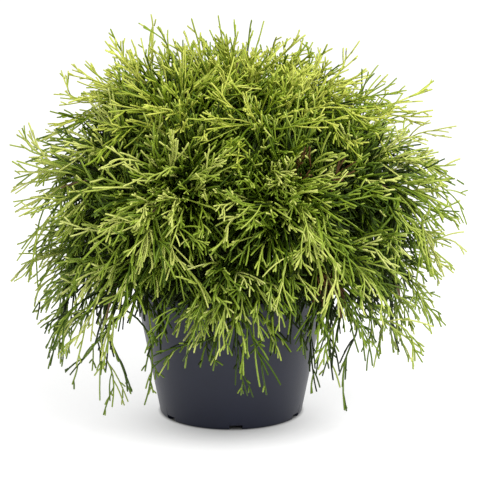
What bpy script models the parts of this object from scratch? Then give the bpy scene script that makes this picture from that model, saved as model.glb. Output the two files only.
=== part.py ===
"""A thread-leaved golden cypress in a nursery pot, as named solids at real size.

The pot stands on z = 0 with its axis on Z. A short trunk rises from the compost. Boughs leave it in
three rings, and each ends at the stem of one mass of foliage. The lowest ring arches over the rim and
weeps outside the pot. A mass is a stem, a small core and forked sprays, joined into one solid.
"""

import math

import bmesh
import bpy
import numpy as np
from mathutils import Vector
from mathutils.bvhtree import BVHTree
from mathutils.geometry import tessellate_polygon

# All sizes are in metres, and all angles in degrees.
CLEARANCE = 0.0003
SHARP_ANGLE = 80.0

# Pot
POT_HEIGHT = 0.158
POT_WALL = 0.0018
POT_RIM_RADIUS = 0.116
POT_RIM_DEPTH = 0.007
POT_RIM_LIP = 0.0022
POT_HEEL_RADIUS = 0.0853
POT_HEEL_HEIGHT = 0.0045
POT_FOOT_RADIUS = 0.0820
POT_FOOT_WIDTH = 0.009
POT_FOOT_HEIGHT = 0.0062
POT_SIDES = 36
NOTCH_COUNT = 6
NOTCH_WIDTH = 0.0150
NOTCH_HEIGHT = 0.0056
NOTCH_TURN = 4.0
DRAIN_RADIUS = 0.005
DRAIN_RING = 0.055
DRAIN_SIDES = 8

# Compost
COMPOST_TOP = 0.142
COMPOST_FALL = 0.003

# Trunk
TRUNK_FOOT = COMPOST_TOP + CLEARANCE
TRUNK_TOP = 0.335
TRUNK_RADIUS = 0.0085
TRUNK_TIP_RADIUS = 0.0032
TRUNK_LEAN = 0.006
FLARE_RADIUS = 0.007
FLARE_HEIGHT = 0.014
FLARE_LOBES = 5
TRUNK_SIDES = 10
TRUNK_RINGS = 9

# Crown: the outline as a distance from the crown's centre at each elevation
CROWN_CENTRE = np.array((0.0, 0.0, 0.235))
OUTLINE_ELEVATIONS = (-90, -60, -42, -30, 0, 15, 40, 60, 90)
OUTLINE_RADII = (0.200, 0.228, 0.252, 0.253, 0.240, 0.240, 0.226, 0.210, 0.200)
OUTLINE_LUMPS = 0.022
OUTLINE_LEAN = 0.045
SKIRT_ELEVATION = -42.0
FRONT_RISE = 16.0
SKIRT_RAGGED = 7.0
LOWEST_TIP = 0.026

# Rings of boughs: (name, count, first azimuth, curve from trunk to tip as radius and height)
RINGS = (
    ("skirt", 8, -90.0, ((0.0, 0.170), (0.110, 0.240), (0.196, 0.222), (0.204, 0.120))),
    ("middle", 8, -67.5, ((0.0, 0.212), (0.085, 0.270), (0.165, 0.300), (0.216, 0.272))),
    ("upper", 6, -75.0, ((0.0, 0.262), (0.048, 0.330), (0.095, 0.365), (0.140, 0.374))),
)
AZIMUTH_JITTER = 5.0
CURVE_WANDER = 0.010
STEP_UP = 0.0035  # neighbours in a ring leave the trunk at different heights, by this step
BOUGH_END = {"skirt": 0.40, "middle": 0.42, "upper": 0.46}
BOUGH_RADIUS = {"skirt": 0.0040, "middle": 0.0036, "upper": 0.0028}
BOUGH_TIP_RADIUS = 0.0024
BOUGH_SIDES = 5
BOUGH_RINGS = 4
LEADER_RISE = 0.090
AXIS_POINTS = 49

# Masses: each stem's share of its curve, and the small dense core round it
STEM_END = 0.92
STEM_SHOWS = 0.85
STEM_TIP_RADIUS = 0.0012
STEM_SIDES = 5
STEM_RINGS = 4
CORE_START = 0.06
CORE_END = 1.0
CORE_RINGS = 5
CORE_SIDES = 8
CORE_SHARE = 0.90
CORE_LEAST = 0.006
CORE_MOST = 0.090
CORE_OUTLINE = 0.82
SPACE_MARGIN = 0.0035
LIMB_MARGIN = 0.005
POT_MARGIN = 0.006

# Threads: forked whipcord sprays that run from the stems to places spread over the outline.
# Four masses have one spray fewer, which is left out by its place in the mass's list.
THREAD_COUNT = 640
THREAD_POINTS = 16
THREAD_STARTS = (0.10, 0.92)
THREAD_LENGTH = (0.085, 0.140)
THREAD_DEPTH = (0.96, 1.04)
THREAD_SPREAD = 0.05
THREAD_HALF_WIDTH = 0.0024
THREAD_THICKNESS = 0.0032
THREAD_BARE = 0.34
THREAD_CLEAR = 0.004
THREAD_SHOWS = 0.016
THREADS_APART = 0.006
TIP_ELEVATIONS = (-50, -20, 10, 45, 80)
TIP_FALL = (2.4, 1.6, 0.75, 0.22, -0.15)
TIP_WANDER = 0.20
TIP_SWAY = 0.22
THREAD_BOW = 0.008
THREAD_WAVE = 0.0035
LEAST_AHEAD = 0.60
LEAVE_STEM = 0.6
LEAVE_UP = 0.3
RUNNER_SHARE = 0.15
RUNNER_LENGTH = (0.016, 0.044)
FORK_COUNT = 2
FORK_PLACES = (0.34, 0.80)
FORK_SHARE = (0.22, 0.36)
FORK_ANGLE = (26.0, 42.0)
LEFT_OUT = {"middle_1": 0, "middle_3": 10, "middle_6": 9, "skirt_1": 1}
SEED = 1924

# Shoots that hang below the skirt: azimuth, distance from the axis and height of each tip
TRAILERS = (
    (-169, 0.216, 0.066),
    (-157, 0.202, 0.065),
    (-141, 0.175, 0.036),
    (-134, 0.169, 0.058),
    (-125, 0.170, 0.047),
    (-97, 0.187, 0.110),
    (-84, 0.181, 0.070),
    (-55, 0.170, 0.063),
    (-46, 0.168, 0.071),
    (-40, 0.170, 0.032),
    (-20, 0.177, 0.069),
    (12, 0.205, 0.062),
    (47, 0.180, 0.045),
    (79, 0.190, 0.068),
    (112, 0.176, 0.042),
    (146, 0.195, 0.060),
)
TRAILER_LENGTH = 0.125
TRAILER_LEAN = 0.12

BARK = ("bark", (0.16, 0.085, 0.045), 0.9)
POT_PLASTIC = ("pot_plastic", (0.030, 0.033, 0.042), 0.42)
COMPOST = ("compost", (0.045, 0.028, 0.018), 0.97)
FOLIAGE = ("foliage", (0.36, 0.45, 0.055), 0.62)


def clear_scene():
    for obj in list(bpy.data.objects):
        bpy.data.objects.remove(obj, do_unlink=True)


def material(look):
    """A Principled material from (name, colour, roughness), made once."""
    name, colour, roughness = look
    if name in bpy.data.materials:
        return bpy.data.materials[name]
    made = bpy.data.materials.new(name)
    made.use_nodes = True
    shader = made.node_tree.nodes["Principled BSDF"]
    shader.inputs["Base Color"].default_value = (*colour, 1.0)
    shader.inputs["Roughness"].default_value = roughness
    shader.inputs["Metallic"].default_value = 0.0
    return made


def shade_round(mesh):
    """Shades a mesh smooth, except across its square edges."""
    mesh.shade_smooth()
    mesh.set_sharp_from_angle(angle=math.radians(SHARP_ANGLE))


def add_object(name, points, faces, look, curved=False):
    """A mesh object with its faces turned outwards. A curved one is made of flat triangles."""
    mesh = bpy.data.meshes.new(name)
    mesh.from_pydata([tuple(map(float, p)) for p in points], [], [tuple(map(int, f)) for f in faces])
    shape = bmesh.new()
    shape.from_mesh(mesh)
    if curved:
        bmesh.ops.triangulate(shape, faces=shape.faces, quad_method="SHORT_EDGE")
    bmesh.ops.recalc_face_normals(shape, faces=shape.faces)
    if shape.calc_volume(signed=True) < 0:
        bmesh.ops.reverse_faces(shape, faces=shape.faces)
    shape.to_mesh(mesh)
    shape.free()
    shade_round(mesh)
    mesh.materials.append(material(look))
    obj = bpy.data.objects.new(name, mesh)
    bpy.context.scene.collection.objects.link(obj)
    return obj


def unit(vectors):
    return vectors / np.linalg.norm(vectors, axis=-1, keepdims=True)


def skin(rings):
    """Points and faces of a closed tube through rings of equal count, capped flat at both ends."""
    count, sides = len(rings), len(rings[0])
    points = np.concatenate(rings)
    faces = []
    for ring in range(count - 1):
        for side in range(sides):
            a = ring * sides + side
            b = ring * sides + (side + 1) % sides
            faces.append((a, b, b + sides, a + sides))
    faces.append(tuple(range(sides))[::-1])
    faces.append(tuple(range((count - 1) * sides, count * sides)))
    return points, faces


def turned(profile, sides):
    """Points and faces of a profile turned about Z. Its first and last points lie on the axis."""
    angles = np.arange(sides) * 2 * math.pi / sides
    around = np.stack([np.cos(angles), np.sin(angles)], axis=1)
    points = [np.array([[0.0, 0.0, profile[0][1]]])]
    for radius, height in profile[1:-1]:
        points.append(np.column_stack([around * radius, np.full(sides, height)]))
    points.append(np.array([[0.0, 0.0, profile[-1][1]]]))
    faces = []
    rings = len(profile) - 2
    for side in range(sides):
        after = (side + 1) % sides
        faces.append((0, 1 + after, 1 + side))
        for ring in range(rings - 1):
            low = 1 + ring * sides
            faces.append((low + side, low + after, low + sides + after, low + sides + side))
        last = 1 + (rings - 1) * sides
        faces.append((last + side, last + after, last + sides))
    return np.concatenate(points), faces


def pot_inner_radius(height):
    """The inner wall's radius at a height, from the heel to under the rim."""
    low, high = POT_HEEL_RADIUS - POT_WALL, POT_RIM_RADIUS - POT_RIM_LIP - POT_WALL
    share = (height - POT_HEEL_HEIGHT) / (POT_HEIGHT - POT_RIM_DEPTH - POT_HEEL_HEIGHT)
    return low + (high - low) * share


def pot_profile():
    """The wall's outline, from the middle of the underside, up the outside and down the inside."""
    under_rim = POT_HEIGHT - POT_RIM_DEPTH
    foot_inside = POT_FOOT_RADIUS - POT_FOOT_WIDTH
    floor = POT_FOOT_HEIGHT + POT_WALL
    heel_turn = 0.55
    turn_radius = POT_FOOT_RADIUS + (POT_HEEL_RADIUS - POT_FOOT_RADIUS) * (1 - heel_turn * heel_turn)
    return (
        (0.0, POT_FOOT_HEIGHT),
        (foot_inside, POT_FOOT_HEIGHT),
        (foot_inside, 0.0),
        (POT_FOOT_RADIUS, 0.0),
        (turn_radius, POT_HEEL_HEIGHT * (1 - heel_turn)),
        (POT_HEEL_RADIUS, POT_HEEL_HEIGHT),
        (POT_RIM_RADIUS - POT_RIM_LIP, under_rim),
        (POT_RIM_RADIUS, under_rim + POT_RIM_LIP / 2),
        (POT_RIM_RADIUS, POT_HEIGHT),
        (pot_inner_radius(POT_HEIGHT), POT_HEIGHT),
        (pot_inner_radius(floor), floor),
        (0.0, floor),
    )


def make_pot():
    """The pot, with notches through its foot ring and drain holes through its floor."""
    pot = add_object("pot", *turned(pot_profile(), POT_SIDES), POT_PLASTIC)
    below, deep = -0.002, 0.002
    cutters = bmesh.new()
    for index in range(NOTCH_COUNT):
        angle = math.radians(NOTCH_TURN - 90 + index * 360 / NOTCH_COUNT)
        block = bmesh.ops.create_cube(cutters, size=1.0)["verts"]
        inner = POT_FOOT_RADIUS - 2 * POT_FOOT_WIDTH
        length = POT_HEEL_RADIUS + 0.01 - inner
        for vert in block:
            along = inner + (vert.co.x + 0.5) * length
            across = vert.co.y * NOTCH_WIDTH
            vert.co = Vector((
                along * math.cos(angle) - across * math.sin(angle),
                along * math.sin(angle) + across * math.cos(angle),
                below + (vert.co.z + 0.5) * (NOTCH_HEIGHT - below),
            ))
        hole = angle + math.pi / NOTCH_COUNT
        drain = bmesh.ops.create_cone(
            cutters, cap_ends=True, segments=DRAIN_SIDES,
            radius1=DRAIN_RADIUS, radius2=DRAIN_RADIUS, depth=POT_WALL + 2 * deep,
        )["verts"]
        middle = POT_FOOT_HEIGHT + POT_WALL / 2
        bmesh.ops.translate(
            cutters, verts=drain,
            vec=(DRAIN_RING * math.cos(hole), DRAIN_RING * math.sin(hole), middle),
        )
    mesh = bpy.data.meshes.new("drainage_cutter")
    cutters.to_mesh(mesh)
    cutters.free()
    cutter = bpy.data.objects.new("drainage_cutter", mesh)
    bpy.context.scene.collection.objects.link(cutter)
    cutter.hide_render = True
    cutter.display_type = "WIRE"
    cut = pot.modifiers.new("drainage", "BOOLEAN")
    cut.operation = "DIFFERENCE"
    cut.solver = "EXACT"
    cut.object = cutter
    return pot


def make_compost():
    """The fill, a clearance inside the pot's wall and floor, with a flat middle for the trunk."""
    shoulder = COMPOST_TOP - COMPOST_FALL
    floor = POT_FOOT_HEIGHT + POT_WALL + CLEARANCE
    inset = CLEARANCE * 1.5
    profile = (
        (0.0, floor),
        (pot_inner_radius(floor) - inset, floor),
        (pot_inner_radius(shoulder) - inset, shoulder),
        (pot_inner_radius(shoulder) * 0.55, COMPOST_TOP),
        (0.0, COMPOST_TOP),
    )
    return add_object("compost", *turned(profile, POT_SIDES), COMPOST)


def trunk_centre(height):
    """The trunk's leaning centre line as an array of points, at an array of heights."""
    height = np.asarray(height, float)
    share = (height - TRUNK_FOOT) / (TRUNK_TOP - TRUNK_FOOT)
    sway = TRUNK_LEAN * np.sin(share * math.pi)
    return np.stack([TRUNK_LEAN * share, sway * 0.6, height], axis=-1)


def trunk_radius(height, angle):
    """The taper, with a lobed flare at the foot."""
    share = np.clip((height - TRUNK_FOOT) / (TRUNK_TOP - TRUNK_FOOT), 0, 1)
    taper = TRUNK_RADIUS + (TRUNK_TIP_RADIUS - TRUNK_RADIUS) * share
    flare = FLARE_RADIUS * np.exp(-(height - TRUNK_FOOT) / FLARE_HEIGHT)
    return taper + flare * (0.7 + 0.3 * np.cos(FLARE_LOBES * angle))


def trunk_rings(grow=0.0):
    angles = np.arange(TRUNK_SIDES) * 2 * math.pi / TRUNK_SIDES
    shares = np.linspace(0, 1, TRUNK_RINGS) ** 1.5
    rings = []
    for height in TRUNK_FOOT + (TRUNK_TOP - TRUNK_FOOT) * shares:
        radius = trunk_radius(height, angles) + grow
        ring = np.stack([np.cos(angles) * radius, np.sin(angles) * radius, 0 * angles], axis=1)
        rings.append(ring + trunk_centre(height))
    return rings


def frames_along(tangents):
    """Two side directions at each point of a path, carried along it without twist."""
    side = np.array((0.0, 0.0, 1.0)) if abs(tangents[0][2]) < 0.9 else np.array((1.0, 0.0, 0.0))
    sides = []
    for tangent in tangents:
        side = unit(side - tangent * side.dot(tangent))
        sides.append(side)
    sides = np.array(sides)
    return sides, np.cross(tangents, sides)


def limb(branch, shares, radii, sides):
    """Points and faces of a round limb along a stretch of a branch, cut square at both ends."""
    path = branch.points(shares)
    first, second = frames_along(branch.tangents(shares))
    angles = np.arange(sides) * 2 * math.pi / sides
    rings = []
    for point, radius, one, two in zip(path, radii, first, second):
        rings.append(point + radius * (np.outer(np.cos(angles), one) + np.outer(np.sin(angles), two)))
    return skin(rings)


class Branch:
    """One curve from the trunk to a mass's tip: a bough up to bough_end, and beyond it the mass's stem."""

    def __init__(self, ring, name, curve, bough_end):
        self.ring = ring
        self.name = name
        self.curve = np.array(curve)
        self.bough_end = bough_end

    def points(self, shares):
        """The curve's points: a cubic through its four control points."""
        t = np.asarray(shares, float)[..., None]
        a, b, c, d = self.curve
        return (1 - t) ** 3 * a + 3 * (1 - t) ** 2 * t * b + 3 * (1 - t) * t * t * c + t ** 3 * d

    def tangents(self, shares):
        t = np.asarray(shares, float)[..., None]
        a, b, c, d = self.curve
        return unit((1 - t) ** 2 * (b - a) + 2 * (1 - t) * t * (c - b) + t * t * (d - c))

    def stem_share(self, share):
        """A share of the stem as a share of the whole curve."""
        return self.bough_end + (STEM_END - self.bough_end) * share


def branches():
    """All the boughs' curves, ring by ring, and the leader's, which has no bough of its own."""
    rng = np.random.default_rng(SEED)
    made = []
    for ring, count, first, profile in RINGS:
        for index in range(count):
            azimuth = math.radians(first + index * 360 / count + rng.uniform(-1, 1) * AZIMUTH_JITTER)
            out = np.array((math.cos(azimuth), math.sin(azimuth), 0.0))
            aside = np.array((-math.sin(azimuth), math.cos(azimuth), 0.0))
            rise = STEP_UP * (index * 3 % 8)
            foot = trunk_centre(profile[0][1] + rise)
            curve = [foot]
            for place, (radius, height) in enumerate(profile[1:], 1):
                wander = rng.normal(0, CURVE_WANDER, 2) * place / 3
                curve.append(
                    np.array((0, 0, height + wander[0] * 0.5 + rise * (1 - place / 3)))
                    + out * radius + aside * wander[1]
                )
            made.append(Branch(ring, f"{ring}_{index + 1}", curve, BOUGH_END[ring]))
    foot = trunk_centre(TRUNK_TOP) + (0, 0, CLEARANCE)
    rise = np.array((0.002, 0.0, LEADER_RISE)) / 3
    made.append(Branch("top", "top", [foot + rise * step for step in range(4)], 0.0))
    return made


def angles_of(directions):
    """Elevation and azimuth in degrees of unit directions."""
    elevation = np.degrees(np.arcsin(np.clip(directions[..., 2], -1, 1)))
    return elevation, np.degrees(np.arctan2(directions[..., 1], directions[..., 0]))


def outline_reach(directions):
    """How far the crown reaches from its centre along unit directions, with low lumps."""
    elevation, azimuth = angles_of(directions)
    reach = np.interp(elevation, OUTLINE_ELEVATIONS, OUTLINE_RADII)
    around = np.radians(azimuth)
    lumps = np.sin(3 * around + 0.9) * np.sin(np.radians(4 * elevation) + 0.4)
    lumps += 0.6 * np.sin(7 * around - 1.3) * np.cos(np.radians(3 * elevation))
    lean = np.cos(around) * np.cos(np.radians(2.6 * elevation))
    return reach * (1 + OUTLINE_LUMPS * lumps + OUTLINE_LEAN * lean)


def skirt_elevation(azimuth):
    """The elevation at which the skirt ends. It ends higher at the front, over the pot."""
    front = np.clip(-np.sin(np.radians(azimuth)), 0, 1) ** 3
    return SKIRT_ELEVATION + FRONT_RISE * front


def share_of_outline(points):
    """1 on the crown's outline, less inside it."""
    away = points - CROWN_CENTRE
    distance = np.maximum(np.linalg.norm(away, axis=-1), 1e-6)
    return distance / outline_reach(away / distance[..., None])


class Spaces:
    """Each mass owns what lies nearer to its stem than to any other mass's stem."""

    def __init__(self, all_branches):
        shares = np.linspace(0, 1, AXIS_POINTS)
        heights = np.linspace(TRUNK_FOOT, TRUNK_TOP, AXIS_POINTS)
        points, owners = [trunk_centre(heights)], [np.full(AXIS_POINTS, -1)]
        for owner, branch in enumerate(all_branches):
            points.append(branch.points(shares))
            owners.append(np.where(shares >= branch.bough_end - 1e-9, owner, -1))
        self.points = np.concatenate(points)
        self.owners = np.concatenate(owners)

    def distances(self, places):
        """How far each place is from each stem, and from the nearest limb."""
        apart = np.linalg.norm(places[..., None, :] - self.points, axis=-1)
        stems = [apart[..., self.owners == owner].min(axis=-1) for owner in range(self.owners.max() + 1)]
        return np.stack(stems, axis=-1), apart[..., self.owners == -1].min(axis=-1)

    def margin(self, owner, places):
        """Distance to spare before each place comes nearer to another's stem, or close to a limb."""
        stems, limbs = self.distances(places)
        own = stems[..., owner].copy()
        stems[..., owner] = np.inf
        return np.minimum((stems.min(axis=-1) - own) / 2, limbs - LIMB_MARGIN)

    def free(self, owner, places, margin=SPACE_MARGIN):
        """Whether every place is in the owner's space, clear of the pot and not too low."""
        radius = np.hypot(places[:, 0], places[:, 1])
        wall = POT_RIM_RADIUS + POT_MARGIN
        clear_of_pot = (places[:, 2] > POT_HEIGHT + POT_MARGIN) | (radius > wall)
        high_enough = places[:, 2] > LOWEST_TIP
        return bool((clear_of_pot & high_enough & (self.margin(owner, places) > margin)).all())


def core_shape(branch, owner, spaces, rng):
    """Points and faces of the small dense heart round a stem, well inside its space."""
    shares = branch.stem_share(np.linspace(CORE_START, CORE_END, CORE_RINGS))
    path = branch.points(shares)
    first, second = frames_along(branch.tangents(shares))
    angles = np.arange(CORE_SIDES) * 2 * math.pi / CORE_SIDES
    reaches = np.arange(0.004, CORE_MOST / CORE_SHARE, 0.0025)
    rings = []
    for place, (point, one, two) in enumerate(zip(path, first, second)):
        swell = math.sin(math.pi * (place + 0.9) / (CORE_RINGS + 0.8)) ** 0.6
        ring = []
        for angle in angles + place * math.pi / CORE_SIDES:
            away = math.cos(angle) * one + math.sin(angle) * two
            line = point + np.outer(reaches, away)
            radius = np.hypot(line[:, 0], line[:, 1])
            inside = (spaces.margin(owner, line) > SPACE_MARGIN) & (share_of_outline(line) < CORE_OUTLINE)
            inside &= (line[:, 2] > POT_HEIGHT + 0.012) | (radius > POT_RIM_RADIUS + 0.012)
            room = reaches[int(inside.argmin())] if not inside.all() else reaches[-1]
            size = max(CORE_LEAST, min(CORE_MOST, room * CORE_SHARE) * swell * rng.uniform(0.9, 1.0))
            ring.append(point + away * size)
        rings.append(np.array(ring))
    return skin(rings)


def spread_directions(count, rng):
    """Unit directions spread evenly over the crown, a little disturbed, and fewer near the skirt's end."""
    index = np.arange(count) + 0.5
    height = 1 - 2 * index / count
    turn = index * math.pi * (3 - math.sqrt(5))
    level = np.sqrt(1 - height ** 2)
    away = np.stack([level * np.cos(turn), level * np.sin(turn), height], axis=1)
    away = unit(away + rng.normal(0, THREAD_SPREAD, away.shape))
    elevation, azimuth = angles_of(away)
    ragged = SKIRT_RAGGED * rng.exponential(1.0, count)
    return away[elevation > skirt_elevation(azimuth) + ragged]


def hermite(starts, leave, ends, arrive, count):
    """Cubic curves, as many points each, that leave and arrive along the given headings."""
    t = np.linspace(0, 1, count)[None, :, None]
    pull = np.linalg.norm(ends - starts, axis=1)[:, None, None]
    starts, leave, ends, arrive = (each[:, None, :] for each in (starts, leave, ends, arrive))
    return (
        (2 * t ** 3 - 3 * t ** 2 + 1) * starts
        + (t ** 3 - 2 * t ** 2 + t) * pull * leave
        + (3 * t ** 2 - 2 * t ** 3) * ends
        + (t ** 3 - t ** 2) * pull * arrive
    )


def sway_of(away):
    """A smooth sideways pull on the tips, so that neighbours lean together."""
    x, y, z = away.T
    waves = (np.sin(9 * y + 4 * z + 1.0), np.sin(8 * z - 5 * x + 2.0), np.sin(10 * x + 6 * y))
    return TIP_SWAY * np.stack(waves, axis=1)


def trailing_tips():
    """The places and headings of the tips that hang below the skirt."""
    turn, radius, height = np.array(TRAILERS).T
    turn = np.radians(turn)
    out = np.stack([np.cos(turn), np.sin(turn), 0 * turn], axis=1)
    up = np.array((0, 0, 1.0))
    return out * radius[:, None] + up * height[:, None], unit(TRAILER_LEAN * out - up)


class Threads:
    """Threads that leave the stems and end at places spread evenly over the crown's outline."""

    def __init__(self, count, seed, all_branches, spaces):
        rng = np.random.default_rng(seed)
        away = spread_directions(count, rng)
        count = len(away)
        elevation, _ = angles_of(away)
        fall = np.interp(elevation, TIP_ELEVATIONS, TIP_FALL)
        arrive = away - fall[:, None] * np.array((0, 0, 1.0)) + sway_of(away)
        arrive = unit(arrive + rng.normal(0, TIP_WANDER, away.shape))
        reach = outline_reach(away) * rng.uniform(*THREAD_DEPTH, count)
        ends = CROWN_CENTRE + away * reach[:, None]
        runner = (rng.random(count) < RUNNER_SHARE) * rng.uniform(*RUNNER_LENGTH, count)
        length = rng.uniform(*THREAD_LENGTH, count)
        inside = ends
        ends = ends + arrive * runner[:, None]
        tips, headings = trailing_tips()
        ends, arrive = np.concatenate([tips, ends]), np.concatenate([headings, arrive])
        away = np.concatenate([unit(tips - CROWN_CENTRE), away])
        length = np.concatenate([np.full(len(tips), TRAILER_LENGTH), length])
        count = len(ends)
        self.owner = spaces.distances(np.concatenate([tips, inside]))[0].argmin(axis=1)
        shares = self.start_shares(ends, length, all_branches)
        starts = np.array([all_branches[o].points(s) for o, s in zip(self.owner, shares)])
        along = np.array([all_branches[o].tangents(s) for o, s in zip(self.owner, shares)])
        leave = unit(unit(ends - starts) + LEAVE_STEM * along + (0, 0, LEAVE_UP))
        bow = rng.normal(0, THREAD_BOW, away.shape)
        wave = rng.normal(0, THREAD_WAVE, away.shape)
        self.paths = hermite(starts, leave, ends, arrive, THREAD_POINTS)
        turn = np.linspace(0, math.pi, THREAD_POINTS)[None, :, None]
        self.paths += np.sin(turn) * bow[:, None] + np.sin(2 * turn) * wave[:, None]
        self.faces = unit(away + rng.normal(0, 0.35, away.shape))
        self.fork_share = rng.uniform(0.1, 0.7, (count, FORK_COUNT))
        self.fork_reach = rng.uniform(*FORK_SHARE, (count, FORK_COUNT))
        self.fork_angle = rng.uniform(*FORK_ANGLE, (count, FORK_COUNT))
        self.fork_side = np.where(rng.random(count) < 0.5, 1, -1)
        ahead = (unit(ends - starts) * arrive).sum(axis=1)
        self.kept = np.nonzero(ahead > LEAST_AHEAD)[0]

    def start_shares(self, ends, length, all_branches):
        """For each end, the outermost place before its nearest on the stem that is far enough off."""
        low, high = THREAD_STARTS
        steps = np.linspace(low, high, 25)
        chosen = []
        for end, least, owner in zip(ends, length, self.owner):
            stem = all_branches[owner].points(all_branches[owner].stem_share(steps))
            apart = np.linalg.norm(stem - end, axis=1)
            apart[apart.argmin() + 1:] = 0
            far = np.nonzero(apart >= least)[0]
            chosen.append(all_branches[owner].stem_share(steps[far[-1] if len(far) else 0]))
        return np.array(chosen)


class Spray:
    """One thread of the crown as a forked blade."""

    def __init__(self, threads, index):
        self.path = threads.paths[index]
        self.face = threads.faces[index]
        steps = np.linalg.norm(np.diff(self.path, axis=0), axis=1)
        self.along = np.concatenate([[0], np.cumsum(steps)])
        self.length = self.along[-1]
        self.tangents = unit(np.gradient(self.path, axis=0))
        self.forks = []
        low, high = FORK_PLACES
        for fork in range(FORK_COUNT):
            share = (fork + threads.fork_share[index, fork]) / FORK_COUNT
            side = threads.fork_side[index] * (1 if fork % 2 else -1)
            at = self.length * (low + (high - low) * share)
            reach = self.length * threads.fork_reach[index, fork]
            self.forks.append((at, side, reach, math.radians(threads.fork_angle[index, fork])))

    def half_width(self, at):
        return THREAD_HALF_WIDTH * (1 - 0.45 * at / self.length)

    def laid(self, along, across, above):
        """The point that lies at a distance along the path, across it and above its flat side."""
        at = min(along, self.length)
        centre = np.array([np.interp(at, self.along, self.path[:, axis]) for axis in range(3)])
        tangent = np.array([np.interp(at, self.along, self.tangents[:, axis]) for axis in range(3)])
        tangent = unit(tangent)
        normal = unit(self.face - tangent * self.face.dot(tangent))
        ahead = tangent * (along - at)
        return centre + ahead + np.cross(normal, tangent) * across + normal * above

    def fork_points(self, fork, steps=(0.4, 0.7, 1.0)):
        """Points along a side fork."""
        at, side, reach, angle = fork
        found = []
        for step in steps:
            across = self.half_width(at) + reach * step * math.sin(angle)
            found.append(self.laid(at + reach * step * math.cos(angle), side * across, 0))
        return np.array(found)

    def keep_clear(self, owner, spaces, taken):
        """Drops forks that meet others or leave the space. Returns the points that the rest take."""
        bare = int(THREAD_BARE * len(self.path))
        head = self.path[bare:]
        if not spaces.free(owner, self.path[2:]) or nearest(head, taken) < THREADS_APART:
            return None
        kept, points = [], [self.path[bare // 2:]]
        for fork in self.forks:
            places = self.fork_points(fork)
            if spaces.free(owner, places) and nearest(places, taken) > THREADS_APART:
                kept.append(fork)
                points.append(places)
        self.forks = kept
        return np.concatenate(points)

    def outline(self, stalk):
        """The head's flat outline from the stalk on: (along, across, whether it is a point)."""
        sides = {1: [], -1: []}
        for at, side, reach, angle in self.forks:
            half = self.half_width(at)
            if at < stalk + half:
                continue
            sides[side] += [
                (at, side * half, False),
                (at + reach * math.cos(angle), side * (half + reach * math.sin(angle)), True),
                (at + half * 2.6, side * half * 0.9, False),
            ]
        base = self.half_width(stalk)
        tip = (self.length, 0, True)
        return [(stalk, base, False), *sides[1], tip, *sides[-1][::-1], (stalk, -base, False)]

    def solid(self, inside):
        """Points and faces: a straight stalk out of the core, and a forked head of pointed tips."""
        stalk = max(THREAD_BARE * self.length, inside + THREAD_CLEAR)
        points, tops, bottoms = [], [], []
        outline = self.outline(stalk)
        for along, across, pointed in outline:
            thick = 0 if pointed else THREAD_THICKNESS * (1 - 0.45 * along / self.length) / 2
            tops.append(len(points))
            points.append(self.laid(along, across, thick))
            if not pointed:
                points.append(self.laid(along, across, -thick))
            bottoms.append(len(points) - 1)
        flat = tessellate_polygon([[Vector((along, across, 0)) for along, across, _ in outline]])
        faces = [tuple(tops[index] for index in face) for face in flat]
        faces += [tuple(bottoms[index] for index in face[::-1]) for face in flat]
        for index in range(len(outline) - 1):
            side = (tops[index], tops[index + 1], bottoms[index + 1], bottoms[index])
            faces.append(tuple(dict.fromkeys(side)))
        sunk = self.path[0] - (points[tops[0]] + points[bottoms[-1]]) / 2
        end = (tops[0], bottoms[0], bottoms[-1], tops[-1])
        root = tuple(range(len(points), len(points) + 4))
        points += [points[index] + sunk for index in end]
        faces.append(root)
        for index in range(4):
            after = (index + 1) % 4
            faces.append((end[index], end[after], root[after], root[index]))
        return np.array(points), faces


def nearest(places, others):
    """The least distance between two sets of points."""
    return np.linalg.norm(places[:, None, :] - others[None, :, :], axis=2).min()


def leaves_core(core, spray):
    """The distance along a spray's path at which it last comes out of the core."""
    for index in range(len(spray.path) - 1, 0, -1):
        back = Vector(spray.path[index - 1] - spray.path[index])
        place = core.ray_cast(Vector(spray.path[index]), back, back.length)[0]
        if place is not None:
            return spray.along[index] - (place - Vector(spray.path[index])).length
    return 0.0


def sprays_by_mass(all_branches, spaces):
    """Each mass's sprays, by the growing rule. One that meets another or leaves its space is skipped."""
    threads = Threads(THREAD_COUNT, SEED, all_branches, spaces)
    masses = [[] for _ in all_branches]
    taken = [np.full((1, 3), 9.0) for _ in all_branches]
    for index in threads.kept:
        owner = threads.owner[index]
        spray = Spray(threads, index)
        points = spray.keep_clear(owner, spaces, taken[owner])
        if points is not None:
            masses[owner].append(spray)
            taken[owner] = np.concatenate([taken[owner], points])
    return masses


def one_shell(mesh):
    """Keeps a mesh's largest shell: loose scraps are dropped, and a sealed hollow is filled."""
    shape = bmesh.new()
    shape.from_mesh(mesh)
    unseen = set(shape.faces)
    shells = []
    while unseen:
        group, edge = set(), [next(iter(unseen))]
        while edge:
            face = edge.pop()
            if face not in unseen:
                continue
            unseen.discard(face)
            group.add(face)
            edge += [near for side in face.edges for near in side.link_faces if near in unseen]
        shells.append(group)
    largest = max(shells, key=lambda group: sum(face.calc_area() for face in group))
    spare = [face for group in shells if group is not largest for face in group]
    bmesh.ops.delete(shape, geom=spare, context="FACES")
    shape.to_mesh(mesh)
    shape.free()
    shade_round(mesh)


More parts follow.
